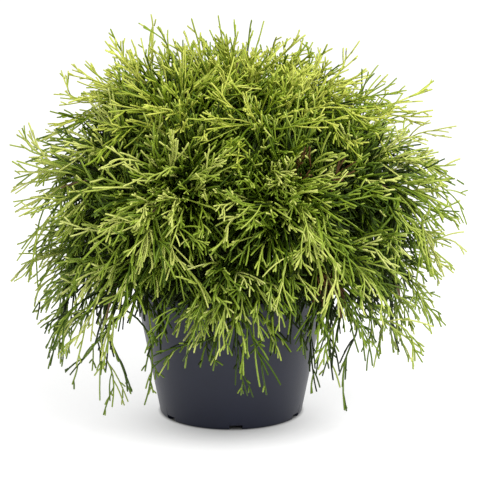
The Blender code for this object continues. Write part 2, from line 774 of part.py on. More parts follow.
def join_solids(name, base, others):
    """One Boolean union of base with the other solids, applied, and the others removed."""
    group = bpy.data.collections.new(name + "_pieces")
    bpy.context.scene.collection.children.link(group)
    for obj in others:
        bpy.context.scene.collection.objects.unlink(obj)
        group.objects.link(obj)
    union = base.modifiers.new("union", "BOOLEAN")
    union.operation = "UNION"
    union.operand_type = "COLLECTION"
    union.solver = "MANIFOLD"
    union.collection = group
    graph = bpy.context.evaluated_depsgraph_get()
    mesh = bpy.data.meshes.new_from_object(base.evaluated_get(graph))
    base.modifiers.clear()
    base.data = mesh
    for obj in others:
        bpy.data.objects.remove(obj, do_unlink=True)
    bpy.data.collections.remove(group)
    one_shell(mesh)
    return base


def make_trunk():
    return add_object("trunk", *skin(trunk_rings()), BARK, curved=True)


def make_bough(branch, cutter):
    """A tapering limb from the trunk's side to the mass's stem, cut clear of the trunk."""
    shares = np.linspace(0, branch.bough_end, BOUGH_RINGS)
    radii = np.linspace(BOUGH_RADIUS[branch.ring], BOUGH_TIP_RADIUS, BOUGH_RINGS)
    tube = limb(branch, shares, radii, BOUGH_SIDES)
    bough = add_object(f"bough_{branch.name}", *tube, BARK, curved=True)
    cut = bough.modifiers.new("trunk_clearance", "BOOLEAN")
    cut.operation = "DIFFERENCE"
    cut.solver = "EXACT"
    cut.object = cutter
    graph = bpy.context.evaluated_depsgraph_get()
    mesh = bpy.data.meshes.new_from_object(bough.evaluated_get(graph))
    bough.modifiers.clear()
    bough.data = mesh
    one_shell(mesh)
    return bough


def make_mass(branch, owner, spaces, sprays):
    """A mass of foliage: its stem, its core and its forked sprays as one solid."""
    rng = np.random.default_rng(SEED + 500 + owner)
    length = np.linalg.norm(np.diff(branch.points(np.linspace(0, 1, 60)), axis=0), axis=1).sum()
    start = branch.bough_end + (CLEARANCE / length if branch.bough_end else 0)
    shares = np.linspace(start, branch.stem_share(STEM_SHOWS), STEM_RINGS)
    radii = np.linspace(BOUGH_TIP_RADIUS, STEM_TIP_RADIUS, STEM_RINGS)
    tube = limb(branch, shares, radii, STEM_SIDES)
    stem = add_object(f"foliage_{branch.name}", *tube, FOLIAGE, curved=True)
    points, faces = core_shape(branch, owner, spaces, rng)
    pieces = [add_object("core", points, faces, FOLIAGE, curved=True)]
    core = BVHTree.FromPolygons(points.tolist(), faces)
    for place, spray in enumerate(sprays):
        inside = leaves_core(core, spray)
        if spray.length - inside > THREAD_SHOWS and place != LEFT_OUT.get(branch.name):
            pieces.append(add_object("spray", *spray.solid(inside), FOLIAGE, curved=True))
    return join_solids(stem.name, stem, pieces)


def main():
    clear_scene()
    make_pot()
    make_compost()
    make_trunk()
    all_branches = branches()
    spaces = Spaces(all_branches)
    cutter = add_object("trunk_cutter", *skin(trunk_rings(CLEARANCE * 2)), BARK, curved=True)
    for branch in all_branches:
        if branch.bough_end:
            make_bough(branch, cutter)
    bpy.data.objects.remove(cutter, do_unlink=True)
    masses = sprays_by_mass(all_branches, spaces)
    for owner, branch in enumerate(all_branches):
        make_mass(branch, owner, spaces, masses[owner])


main()
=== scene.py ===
"""The looks of the potted thread-leaf cypress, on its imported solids.

The frame gives the solids, in metres, with the pot standing on z = 0. The shoots are grown here by the
rule that the solids follow: threads run from the stems to places spread evenly over the crown's outline.
Each thread carries side cords, and each side cord carries cordlets.
"""

import math

import bpy
import numpy as np
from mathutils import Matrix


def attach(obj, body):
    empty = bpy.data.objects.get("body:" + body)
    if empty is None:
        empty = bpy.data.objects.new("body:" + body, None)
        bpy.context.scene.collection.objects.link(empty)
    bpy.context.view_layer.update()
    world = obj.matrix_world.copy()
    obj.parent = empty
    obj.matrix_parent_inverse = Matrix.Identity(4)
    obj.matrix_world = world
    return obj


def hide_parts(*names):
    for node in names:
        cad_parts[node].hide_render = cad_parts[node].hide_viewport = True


bl_info = {
    "name": "Potted Cypress",
    "version": (1, 0, 0),
    "blender": (4, 5, 0),
    "location": "View3D > Sidebar > Cypress",
    "description": "Dresses the packed solids of a potted thread-leaf cypress",
    "category": "Object",
}

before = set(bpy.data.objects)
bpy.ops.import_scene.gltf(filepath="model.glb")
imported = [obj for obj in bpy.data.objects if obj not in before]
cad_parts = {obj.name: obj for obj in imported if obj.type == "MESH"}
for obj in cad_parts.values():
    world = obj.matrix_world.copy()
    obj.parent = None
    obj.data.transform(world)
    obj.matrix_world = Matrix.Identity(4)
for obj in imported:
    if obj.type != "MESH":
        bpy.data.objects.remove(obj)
BODY = "root"

# The crown's rule, as in the solids' source. Sizes in metres, angles in degrees.
CLEARANCE = 0.0003
COMPOST_TOP = 0.142
TRUNK_FOOT = COMPOST_TOP + CLEARANCE
TRUNK_TOP = 0.335
TRUNK_RADIUS = 0.0085
TRUNK_TIP_RADIUS = 0.0032
TRUNK_LEAN = 0.006
FLARE_RADIUS = 0.007
FLARE_HEIGHT = 0.014
FLARE_LOBES = 5
CROWN_CENTRE = np.array((0.0, 0.0, 0.235))
OUTLINE_ELEVATIONS = (-90, -60, -42, -30, 0, 15, 40, 60, 90)
OUTLINE_RADII = (0.200, 0.228, 0.252, 0.253, 0.240, 0.240, 0.226, 0.210, 0.200)
OUTLINE_LUMPS = 0.022
OUTLINE_LEAN = 0.045
SKIRT_ELEVATION = -42.0
FRONT_RISE = 16.0
SKIRT_RAGGED = 7.0
LOWEST_TIP = 0.026
RINGS = (
    ("skirt", 8, -90.0, ((0.0, 0.170), (0.110, 0.240), (0.196, 0.222), (0.204, 0.120))),
    ("middle", 8, -67.5, ((0.0, 0.212), (0.085, 0.270), (0.165, 0.300), (0.216, 0.272))),
    ("upper", 6, -75.0, ((0.0, 0.262), (0.048, 0.330), (0.095, 0.365), (0.140, 0.374))),
)
AZIMUTH_JITTER = 5.0
CURVE_WANDER = 0.010
STEP_UP = 0.0035
BOUGH_END = {"skirt": 0.40, "middle": 0.42, "upper": 0.46, "top": 0.0}
BOUGH_RADIUS = {"skirt": 0.0040, "middle": 0.0036, "upper": 0.0028}
BOUGH_TIP_RADIUS = 0.0024
LEADER_RISE = 0.090
STEM_END = 0.92
AXIS_POINTS = 49
THREAD_COUNT = 640
THREAD_POINTS = 12
THREAD_STARTS = (0.10, 0.92)
THREAD_LENGTH = (0.085, 0.140)
THREAD_DEPTH = (0.96, 1.04)
THREAD_SPREAD = 0.05
TIP_ELEVATIONS = (-50, -20, 10, 45, 80)
TIP_FALL = (2.4, 1.6, 0.75, 0.22, -0.15)
TIP_WANDER = 0.20
TIP_SWAY = 0.22
THREAD_BOW = 0.008
THREAD_WAVE = 0.0035
LEAST_AHEAD = 0.60
LEAVE_STEM = 0.6
LEAVE_UP = 0.3
RUNNER_SHARE = 0.15
RUNNER_LENGTH = (0.016, 0.044)
SEED = 1924

# Shoots that hang below the skirt: azimuth, distance from the axis and height of each tip
TRAILERS = (
    (-169, 0.216, 0.066),
    (-157, 0.202, 0.065),
    (-141, 0.175, 0.036),
    (-134, 0.169, 0.058),
    (-125, 0.170, 0.047),
    (-97, 0.187, 0.110),
    (-84, 0.181, 0.070),
    (-55, 0.170, 0.063),
    (-46, 0.168, 0.071),
    (-40, 0.170, 0.032),
    (-20, 0.177, 0.069),
    (12, 0.205, 0.062),
    (47, 0.180, 0.045),
    (79, 0.190, 0.068),
    (112, 0.176, 0.042),
    (146, 0.195, 0.060),
)
TRAILER_LENGTH = 0.125
TRAILER_LEAN = 0.12

# Shoots that reach out of the crown's sides and top: azimuth, distance from the axis and height of each tip
REACHING = (
    (-177, 0.240, 0.346),
    (178, 0.246, 0.320),
    (-172, 0.248, 0.296),
    (176, 0.256, 0.278),
    (-175, 0.254, 0.258),
    (179, 0.254, 0.240),
    (-168, 0.252, 0.214),
    (172, 0.244, 0.190),
    (-3, 0.262, 0.300),
    (6, 0.266, 0.276),
    (-6, 0.272, 0.250),
    (4, 0.276, 0.224),
    (-9, 0.274, 0.200),
    (3, 0.266, 0.168),
    (88, 0.256, 0.300),
    (64, 0.258, 0.250),
    (122, 0.254, 0.280),
    (162, 0.098, 0.470),
    (-167, 0.046, 0.470),
    (80, 0.030, 0.458),
    (-14, 0.081, 0.458),
    (8, 0.136, 0.432),
    (0, 0.182, 0.404),
    (171, 0.130, 0.440),
    (180, 0.169, 0.416),
    (174, 0.194, 0.382),
)
REACHING_LENGTH = 0.120

# Pot
POT_HEIGHT = 0.158
POT_WALL = 0.0018
POT_RIM_RADIUS = 0.116
POT_RIM_DEPTH = 0.007
POT_RIM_LIP = 0.0022
POT_HEEL_RADIUS = 0.0853
POT_HEEL_HEIGHT = 0.0045
POT_FOOT_RADIUS = 0.0820
POT_FOOT_WIDTH = 0.009
POT_FOOT_HEIGHT = 0.0062
NOTCH_COUNT = 6
NOTCH_WIDTH = 0.0150
NOTCH_HEIGHT = 0.0056
NOTCH_TURN = 4.0
DRAIN_RADIUS = 0.005
DRAIN_RING = 0.055
POT_SHARP = 50.0

# The camera, from the picture
PICTURE_WIDTH = 0.566
CAMERA_DISTANCE = 2.6
CAMERA_ELEVATION = 12.4
CAMERA_AIM = (0.0106, 0.0, 0.2075)

# The floor: how white it is, how strongly it glows though it is no lamp, and the soft shadow and dark contact ring
# painted round the pot
FLOOR_TONE = 0.40
FLOOR_GLOW = 0.80
PAINTED_SHADOW_CENTRE = (0.0, -0.050, 0.0)
PAINTED_SHADOW_SIZE = (0.090, 0.082, 1.0)
PAINTED_SHADOW_DEPTH = 0.80
CONTACT_SHADOW_WIDTH = 0.006

# Foliage colours, from the oldest shoots to the youngest, and dead twigs. The darkest also paint shade deep inside
COLOURS = {
    "old": (0.015, 0.027, 0.001),
    "deep": (0.045, 0.085, 0.003),
    "green": (0.125, 0.200, 0.010),
    "leaf": (0.235, 0.330, 0.025),
    "lime": (0.375, 0.460, 0.066),
    "gold": (0.570, 0.620, 0.155),
    "brown": (0.110, 0.055, 0.022),
}
COLOUR_NAMES = tuple(COLOURS)
SHEEN = (0.14, 0.20, 0.28, 0.37, 0.42, 0.46, 0.10)
# Low in the crown the shoots are duller. Each tier's share of a colour's blue and of its sheen. The blue is
# painted light: less of it paints light shining through the top's leaves, more paints pale highlights low down
TIER_LIGHT_TINTS_AND_SHEEN = {"skirt": (1.12, 1.0), "middle": (0.95, 0.95), "upper": (0.62, 0.85)}
BROWN = COLOUR_NAMES.index("brown")
DRY_PLACES = np.array(((0.088, -0.160, 0.326), (0.127, -0.130, 0.310), (0.111, -0.175, 0.190)))
DRY_REACH = 0.017
TONE_STEPS = (0.10, 0.26, 0.42, 0.58, 0.76)

# Shoots. A thread carries side cords, and they carry cordlets. The threads that the solids lack follow
# their own table of elevations and of how far the tips bend down there.
FINE_BEND = ((-50, -20, 3, 16, 28, 50, 80), (2.4, 0.95, 0.70, 0.0, -0.34, -0.62, -0.90))
FINE_WANDER = 0.08
TIERS = ("skirt", "middle", "upper")
THREAD_RADII = (0.00150, 0.00108)
CORD_RADII = (0.00096, 0.00110, 0.00106)
SHADED_WIDTH = 0.45
SIDE_CORDS = 5
SIDE_POINTS = 5
SIDE_PLACES = (0.36, 0.93)
SIDE_LENGTH = (0.050, 0.019)
SIDE_ANGLE = (18.0, 38.0)
SIDE_BEND = 16.0
SIDE_FALL = (3.0, 9.0)
WEEP_HEIGHTS = (0.28, 0.14)
CORD_WANDER = 3.0
FURTHEST_CORD = 0.270
FURTHEST_LEAN = 0.008
CORD_HEIGHTS = (0.022, 0.480)
SIDE_TOP = 0.468
POT_MARGIN = 0.0018
CORDLET_LENGTH = (0.0050, 0.0130)
CORDLET_ANGLE = (24.0, 46.0)
PIECE_TRIANGLES = 180000


def unit(vectors):
    return vectors / np.maximum(np.linalg.norm(vectors, axis=-1, keepdims=True), 1e-12)


# The crown's rule

def trunk_centre(height):
    """The trunk's leaning centre line at an array of heights."""
    height = np.asarray(height, float)
    share = (height - TRUNK_FOOT) / (TRUNK_TOP - TRUNK_FOOT)
    sway = TRUNK_LEAN * np.sin(share * math.pi)
    return np.stack([TRUNK_LEAN * share, sway * 0.6, height], axis=-1)


class Branch:
    """One curve from the trunk to a mass's tip: a bough, and beyond bough_end the mass's stem."""

    def __init__(self, ring, name, curve, bough_end):
        self.ring = ring
        self.name = name
        self.curve = np.array(curve)
        self.bough_end = bough_end

    def points(self, shares):
        """The curve's points: a cubic through its four control points."""
        t = np.asarray(shares, float)[..., None]
        a, b, c, d = self.curve
        return (1 - t) ** 3 * a + 3 * (1 - t) ** 2 * t * b + 3 * (1 - t) * t * t * c + t ** 3 * d

    def tangents(self, shares):
        t = np.asarray(shares, float)[..., None]
        a, b, c, d = self.curve
        return unit((1 - t) ** 2 * (b - a) + 2 * (1 - t) * t * (c - b) + t * t * (d - c))

    def stem_share(self, share):
        """A share of the stem as a share of the whole curve."""
        return self.bough_end + (STEM_END - self.bough_end) * share


def branches():
    """All the boughs' curves, ring by ring, and the leader's, which has no bough of its own."""
    rng = np.random.default_rng(SEED)
    made = []
    for ring, count, first, profile in RINGS:
        for index in range(count):
            azimuth = math.radians(first + index * 360 / count + rng.uniform(-1, 1) * AZIMUTH_JITTER)
            out = np.array((math.cos(azimuth), math.sin(azimuth), 0.0))
            aside = np.array((-math.sin(azimuth), math.cos(azimuth), 0.0))
            rise = STEP_UP * (index * 3 % 8)
            curve = [trunk_centre(profile[0][1] + rise)]
            for place, (radius, height) in enumerate(profile[1:], 1):
                wander = rng.normal(0, CURVE_WANDER, 2) * place / 3
                curve.append(
                    np.array((0, 0, height + wander[0] * 0.5 + rise * (1 - place / 3)))
                    + out * radius + aside * wander[1]
                )
            made.append(Branch(ring, f"{ring}_{index + 1}", curve, BOUGH_END[ring]))
    foot = trunk_centre(TRUNK_TOP) + (0, 0, CLEARANCE)
    rise = np.array((0.002, 0.0, LEADER_RISE)) / 3
    made.append(Branch("top", "top", [foot + rise * step for step in range(4)], 0.0))
    return made


def angles_of(directions):
    """Elevation and azimuth in degrees of unit directions."""
    elevation = np.degrees(np.arcsin(np.clip(directions[..., 2], -1, 1)))
    return elevation, np.degrees(np.arctan2(directions[..., 1], directions[..., 0]))


def outline_reach(directions):
    """How far the crown reaches from its centre along unit directions, with low lumps."""
    elevation, azimuth = angles_of(directions)
    reach = np.interp(elevation, OUTLINE_ELEVATIONS, OUTLINE_RADII)
    around = np.radians(azimuth)
    lumps = np.sin(3 * around + 0.9) * np.sin(np.radians(4 * elevation) + 0.4)
    lumps += 0.6 * np.sin(7 * around - 1.3) * np.cos(np.radians(3 * elevation))
    lean = np.cos(around) * np.cos(np.radians(2.6 * elevation))
    return reach * (1 + OUTLINE_LUMPS * lumps + OUTLINE_LEAN * lean)


def skirt_elevation(azimuth):
    """The elevation at which the skirt ends. It ends higher at the front, over the pot."""
    front = np.clip(-np.sin(np.radians(azimuth)), 0, 1) ** 3
    return SKIRT_ELEVATION + FRONT_RISE * front


def share_of_outline(points):
    """1 on the crown's outline, less inside it."""
    away = points - CROWN_CENTRE
    distance = np.maximum(np.linalg.norm(away, axis=-1), 1e-6)
    return distance / outline_reach(away / distance[..., None])


def spread_directions(count, rng, drop):
    """Unit directions spread evenly over the crown, a little disturbed, and fewer near the skirt's end.

    The skirt may end lower by a drop in degrees.
    """
    index = np.arange(count) + 0.5
    height = 1 - 2 * index / count
    turn = index * math.pi * (3 - math.sqrt(5))
    level = np.sqrt(1 - height ** 2)
    away = np.stack([level * np.cos(turn), level * np.sin(turn), height], axis=1)
    away = unit(away + rng.normal(0, THREAD_SPREAD, away.shape))
    elevation, azimuth = angles_of(away)
    ragged = SKIRT_RAGGED * rng.exponential(1.0, count)
    return away[elevation > skirt_elevation(azimuth) - drop + ragged]


def hermite(starts, leave, ends, arrive, count):
    """Cubic curves, as many points each, that leave and arrive along the given headings."""
    t = np.linspace(0, 1, count)[None, :, None]
    pull = np.linalg.norm(ends - starts, axis=1)[:, None, None]
    starts, leave, ends, arrive = (each[:, None, :] for each in (starts, leave, ends, arrive))
    return (
        (2 * t ** 3 - 3 * t ** 2 + 1) * starts
        + (t ** 3 - 2 * t ** 2 + t) * pull * leave
        + (3 * t ** 2 - 2 * t ** 3) * ends
        + (t ** 3 - t ** 2) * pull * arrive
    )


def nearest_stem(places, all_branches):
    """The index of the branch whose stem is nearest to each place."""
    shares = np.linspace(0, 1, AXIS_POINTS)
    apart = []
    for branch in all_branches:
        stem = branch.points(shares[shares >= branch.bough_end - 1e-9])
        apart.append(np.linalg.norm(places[:, None, :] - stem, axis=-1).min(axis=1))
    return np.array(apart).argmin(axis=0)


def sway_of(away):
    """A smooth sideways pull on the tips, so that neighbours lean together."""
    x, y, z = away.T
    waves = (np.sin(9 * y + 4 * z + 1.0), np.sin(8 * z - 5 * x + 2.0), np.sin(10 * x + 6 * y))
    return TIP_SWAY * np.stack(waves, axis=1)


def listed_tips(rows):
    """The places of tips listed by azimuth, distance from the axis and height, and their level headings."""
    turn, radius, height = np.array(rows).T
    turn = np.radians(turn)
    out = np.stack([np.cos(turn), np.sin(turn), 0 * turn], axis=1)
    return out * radius[:, None] + np.array((0, 0, 1.0)) * height[:, None], out


def trailing_tips():
    """The places and headings of the tips that hang below the skirt."""
    tips, out = listed_tips(TRAILERS)
    return tips, unit(TRAILER_LEAN * out - (0, 0, 1.0)), TRAILER_LENGTH


def reaching_tips():
    """The places and headings of the tips that reach out, bent up or down by their elevation."""
    tips, _ = listed_tips(REACHING)
    away = unit(tips - CROWN_CENTRE)
    fall = np.interp(angles_of(away)[0], *FINE_BEND)
    return tips, unit(away - fall[:, None] * np.array((0, 0, 1.0))), REACHING_LENGTH


class Threads:
    """Threads that leave the stems and end at places spread evenly over the crown's outline."""

    def __init__(self, count, seed, all_branches, depth=THREAD_DEPTH, runners=RUNNER_SHARE, upstream=0.0,
                 bend=(TIP_ELEVATIONS, TIP_FALL), wander=TIP_WANDER, lean=0.0, drop=0.0, lowest=-90.0,
                 highest=90.0, front=1.0, listed=trailing_tips):
        rng = np.random.default_rng(seed)
        away = spread_directions(count, rng, drop)
        elevation, _ = angles_of(away)
        away = away[(elevation > lowest) & (elevation < highest) & (away[:, 1] < front)]
        count = len(away)
        elevation, _ = angles_of(away)
        fall = np.interp(elevation, *bend)
        arrive = away - fall[:, None] * np.array((0, 0, 1.0)) + sway_of(away) + (lean, 0, 0)
        arrive = unit(arrive + rng.normal(0, wander, away.shape))
        reach = outline_reach(away) * rng.uniform(*depth, count)
        ends = CROWN_CENTRE + away * reach[:, None]
        runner = (rng.random(count) < runners) * rng.uniform(*RUNNER_LENGTH, count)
        length = rng.uniform(*THREAD_LENGTH, count)
        ends = ends + arrive * runner[:, None]
        inside = ends - arrive * (runner[:, None] + upstream)
        if listed:
            tips, headings, apart = listed()
            ends, arrive = np.concatenate([tips, ends]), np.concatenate([headings, arrive])
            inside = np.concatenate([tips, inside])
            away = np.concatenate([unit(tips - CROWN_CENTRE), away])
            length = np.concatenate([np.full(len(tips), apart), length])
        self.owner = nearest_stem(inside, all_branches)
        shares = self.start_shares(ends, length, all_branches)
        starts = np.array([all_branches[o].points(s) for o, s in zip(self.owner, shares)])
        along = np.array([all_branches[o].tangents(s) for o, s in zip(self.owner, shares)])
        leave = unit(unit(ends - starts) + LEAVE_STEM * along + (0, 0, LEAVE_UP))
        bow = rng.normal(0, THREAD_BOW, away.shape)
        wave = rng.normal(0, THREAD_WAVE, away.shape)
        self.paths = hermite(starts, leave, ends, arrive, THREAD_POINTS)
        turn = np.linspace(0, math.pi, THREAD_POINTS)[None, :, None]
        self.paths += np.sin(turn) * bow[:, None] + np.sin(2 * turn) * wave[:, None]
        self.faces = unit(away + rng.normal(0, 0.35, away.shape))
        ahead = (unit(ends - starts) * arrive).sum(axis=1)
        self.keep((self.paths[:, :, 2].min(axis=1) > LOWEST_TIP) & (ahead > LEAST_AHEAD))

    def keep(self, chosen):
        self.paths, self.faces, self.owner = self.paths[chosen], self.faces[chosen], self.owner[chosen]

    def start_shares(self, ends, length, all_branches):
        """For each end, the outermost place before its nearest on the stem that is far enough off."""
        low, top_light = THREAD_STARTS
        steps = np.linspace(low, top_light, 25)
        chosen = []
        for end, least, owner in zip(ends, length, self.owner):
            stem = all_branches[owner].points(all_branches[owner].stem_share(steps))
            apart = np.linalg.norm(stem - end, axis=1)
            apart[apart.argmin() + 1:] = 0
            far = np.nonzero(apart >= least)[0]
            chosen.append(all_branches[owner].stem_share(steps[far[-1] if len(far) else 0]))
        return np.array(chosen)


# Meshes from whole arrays

def mesh_object(name, points, quads, triangles=None):
    """A mesh object from arrays of points, quads and triangles."""
    quads = np.asarray(quads, np.int64).reshape(-1, 4)
    triangles = np.zeros((0, 3), np.int64) if triangles is None else np.asarray(triangles).reshape(-1, 3)
    mesh = bpy.data.meshes.new(name)
    mesh.vertices.add(len(points))
    mesh.vertices.foreach_set("co", np.asarray(points, np.float32).ravel())
    loops = np.concatenate([quads.ravel(), triangles.ravel()])
    mesh.loops.add(len(loops))
    mesh.loops.foreach_set("vertex_index", loops.astype(np.int32))
    totals = np.concatenate([np.full(len(quads), 4), np.full(len(triangles), 3)])
    starts = np.concatenate([[0], np.cumsum(totals)[:-1]])
    mesh.polygons.add(len(totals))
    mesh.polygons.foreach_set("loop_start", starts.astype(np.int32))
    mesh.polygons.foreach_set("loop_total", totals.astype(np.int32))
    mesh.polygons.foreach_set("use_smooth", np.ones(len(totals), bool))
    mesh.update(calc_edges=True)
    mesh.validate()
    obj = bpy.data.objects.new(name, mesh)
    bpy.context.scene.collection.objects.link(obj)
    return obj


def add_piece(obj, material, replaced=()):
    """Gives a finished piece its material, hangs it on its body and hides the solids that it replaces."""
    obj.data.materials.clear()
    obj.data.materials.append(material)
    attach(obj, BODY)
    if replaced:
        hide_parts(*replaced)
    return obj


def grid_quads(rows, columns, closed):
    """Quads of a grid of points, row by row, whose columns may close into a ring."""
    row, column = np.meshgrid(np.arange(rows - 1), np.arange(columns if closed else columns - 1), indexing="ij")
    after = (column + 1) % columns
    low, top_light = row * columns, (row + 1) * columns
    return np.stack([low + column, low + after, top_light + after, top_light + column], axis=-1).reshape(-1, 4)


def closed_grid(rings, middles):
    """Rings of points as one closed surface: (points, quads, triangles).

    The rings are joined by quads, and a fan of triangles closes the first and the last ring to its middle.
    """
    rows, columns = rings.shape[:2]
    base = rows * columns
    column = np.arange(columns)
    after = (column + 1) % columns
    low = np.column_stack([after, column, np.full(columns, base)])
    top_light = np.column_stack([column + base - columns, after + base - columns, np.full(columns, base + 1)])
    points = np.concatenate([rings.reshape(-1, 3), middles])
    return points, grid_quads(rows, columns, True), np.concatenate([low, top_light])


def cords(paths, radii, faces, sides=3):
    """Closed round cords along many paths at once: (points, quads, triangles).

    Each ring is path + radius * (cos a * normal + sin a * binormal), where the normal is the cord's
    flat direction made square to its tangent. A last, smaller ring rounds the tip, and both ends are
    capped by one flat face.
    """
    last = unit(paths[:, -1] - paths[:, -2]) * radii[:, -1:] * 0.7
    paths = np.concatenate([paths, (paths[:, -1] + last)[:, None]], axis=1)
    radii = np.concatenate([np.broadcast_to(radii, paths.shape[:2][:1] + (paths.shape[1] - 1,)), radii[:, -1:] * 0.55], axis=1)
    count, steps = paths.shape[:2]
    tangents = unit(np.gradient(paths, axis=1))
    normals = faces[:, None, :] - tangents * (tangents * faces[:, None, :]).sum(-1, keepdims=True)
    normals = unit(normals + 1e-6)
    binormals = np.cross(tangents, normals)
    angles = np.arange(sides) * 2 * math.pi / sides
    cosine, sine = np.cos(angles)[:, None], np.sin(angles)[:, None]
    rings = cosine * normals[:, :, None, :] + sine * binormals[:, :, None, :]
    points = paths[:, :, None, :] + radii[:, :, None, None] * rings
    one = grid_quads(steps, sides, True)
    size = steps * sides
    shift = (np.arange(count) * size)[:, None, None]
    quads = (one[None] + shift).reshape(-1, 4)
    first = np.array([[sides - 1 - index for index in range(sides)]])
    last = np.array([[size - sides + index for index in range(sides)]])
    caps = (np.concatenate([first, last])[None] + shift).reshape(-1, sides)
    return points.reshape(-1, 3), quads, caps


def joined(parts):
    """Several (points, quads, caps) as one, with their numbering moved on."""
    points, quads, caps, base = [], [], [], 0
    for part_points, part_quads, part_caps in parts:
        points.append(part_points)
        quads.append(part_quads + base)
        caps.append(part_caps + base)
        base += len(part_points)
    return np.concatenate(points), np.concatenate(quads), np.concatenate(caps)


# Shader nodes

class Socket:
    """A shader value that adds, subtracts, multiplies and divides like a number."""

    def __init__(self, nodes, output):
        self.nodes, self.output = nodes, output

    def math(self, operation, *values):
        return self.nodes.add("ShaderNodeMath", {"operation": operation}, dict(enumerate((self, *values))))

    def __add__(self, other):
        return self.math("ADD", other)

    def __sub__(self, other):
        return self.math("SUBTRACT", other)

    def __mul__(self, other):
        return self.math("MULTIPLY", other)

    def __truediv__(self, other):
        return self.math("DIVIDE", other)

    def __radd__(self, other):
        return self.math("ADD", other)

    def __rmul__(self, other):
        return self.math("MULTIPLY", other)

    def __rsub__(self, other):
        return self.math("MULTIPLY", -1.0).math("ADD", other)

    def __rtruediv__(self, other):
        return self.math("POWER", -1.0).math("MULTIPLY", other)

    def power(self, other):
        return self.math("POWER", other)

    def clamped(self, low, top_light):
        return self.math("MAXIMUM", low).math("MINIMUM", top_light)


class Nodes:
    """A material's nodes, each made by one call: type, settings, and socket values or links."""

    def __init__(self, name):
        self.material = bpy.data.materials.new(name)
        self.material.use_nodes = True
        self.tree = self.material.node_tree
        self.shader = self.tree.nodes["Principled BSDF"]

    def add(self, kind, settings=None, values=None, output=0):
        node = self.tree.nodes.new(kind)
        for key, value in (settings or {}).items():
            setattr(node, key, value)
        self.set(node, values or {})
        return Socket(self, node.outputs[output])

    def set(self, node, values):
        for key, value in values.items():
            if isinstance(value, Socket):
                self.tree.links.new(value.output, node.inputs[key])
            else:
                node.inputs[key].default_value = value

    def place(self):
        return self.add("ShaderNodeTexCoord", output="Object")

    def vector(self, operation, *values, output="Vector"):
        return self.add("ShaderNodeVectorMath", {"operation": operation}, dict(enumerate(values)), output)

    def noise(self, scale, detail=4.0, rough=0.5, vector=None, output="Fac"):
        values = {"Vector": vector or self.place(), "Scale": scale, "Detail": detail, "Roughness": rough}
        return self.add("ShaderNodeTexNoise", {}, values, output)

    def colour(self, share, first, second):
        """A colour between two colours."""
        node = self.tree.nodes.new("ShaderNodeMix")
        node.data_type = "RGBA"
        self.set(node, {"Factor": share})
        for name, value in (("A", first), ("B", second)):
            socket = [each for each in node.inputs if each.name == name and each.type == "RGBA"][0]
            if isinstance(value, Socket):
                self.tree.links.new(value.output, socket)
            else:
                socket.default_value = (*value, 1.0)
        return Socket(self, [each for each in node.outputs if each.type == "RGBA"][0])

    def bump(self, height, strength, distance):
        values = {"Height": height, "Strength": strength, "Distance": distance}
        return self.add("ShaderNodeBump", {}, values, "Normal")

    def finish(self, **values):
        self.set(self.shader, {key.replace("_", " "): value for key, value in values.items()})
        return self.material


def foliage_material(name, tier):
    """A plain colour of scale leaves, with a soft waxy sheen that is stronger on the young ones."""
    nodes = Nodes(f"foliage_{tier}_{name}")
    red, green, blue = COLOURS[name]
    # The tier's share of blue is painted light. Its share of gloss scales the sheen
    painted_light_blue, gloss = TIER_LIGHT_TINTS_AND_SHEEN[tier]
    sheen = SHEEN[COLOUR_NAMES.index(name)] * gloss
    return nodes.finish(Base_Color=(red, green, blue * painted_light_blue, 1.0), Roughness=0.45, Specular_IOR_Level=sheen)


def pot_material():
    """Moulded anthracite plastic with faint mottling and a fine grain."""
    nodes = Nodes("pot_plastic")
    mottle = nodes.noise(38.0, 5.0, 0.6)
    grain = nodes.noise(900.0, 2.0, 0.5)
    colour = nodes.colour(mottle, (0.003, 0.0048, 0.018), (0.007, 0.0100, 0.029))
    rough = 0.34 + 0.10 * mottle
    bump = nodes.bump(grain, 0.25, 0.0004)
    return nodes.finish(Base_Color=colour, Roughness=rough, Normal=bump, Specular_IOR_Level=0.42)


def bark_material():
    """Fibrous brown bark, streaked along the limb."""
    nodes = Nodes("bark")
    streaks = nodes.noise(160.0, 6.0, 0.65)
    colour = nodes.colour(streaks, (0.070, 0.036, 0.020), (0.23, 0.125, 0.070))
    bump = nodes.bump(streaks, 0.6, 0.0012)
    return nodes.finish(Base_Color=colour, Roughness=0.9, Normal=bump)


def compost_material():
    """Dark moist compost with paler fibres."""
    nodes = Nodes("compost")
    crumbs = nodes.noise(260.0, 6.0, 0.7)
    colour = nodes.colour(crumbs, (0.018, 0.011, 0.007), (0.085, 0.050, 0.028))
    bump = nodes.bump(crumbs, 0.8, 0.002)
    return nodes.finish(Base_Color=colour, Roughness=0.95, Normal=bump)


def floor_material():
    """A glowing white floor, with a painted soft shadow round the pot and a painted dark ring at its foot."""
    nodes = Nodes("floor")
    place = nodes.place()
    axis = nodes.vector("LENGTH", place, output="Value")
    # Painted contact shadow: no glow under the pot's foot, rising to full glow over a narrow ring outside it
    outside = ((axis - POT_FOOT_RADIUS) / CONTACT_SHADOW_WIDTH).clamped(0.0, 1.0)
    # Painted soft shadow: an oval dimming of the glow round the pot, centred a little in front of it
    away = nodes.vector("DIVIDE", nodes.vector("SUBTRACT", place, PAINTED_SHADOW_CENTRE), PAINTED_SHADOW_SIZE)
    away = nodes.vector("LENGTH", away, output="Value")
    shade = (away * away * -1.0).math("EXPONENT") * PAINTED_SHADOW_DEPTH
    glow = (1.0 - shade) * outside * FLOOR_GLOW
    colour = nodes.colour(glow, (0, 0, 0), (1, 1, 1))
    tone = (FLOOR_TONE, FLOOR_TONE, FLOOR_TONE, 1.0)
    return nodes.finish(Base_Color=tone, Roughness=0.9, Emission_Color=colour, Emission_Strength=1.0)


# Pieces

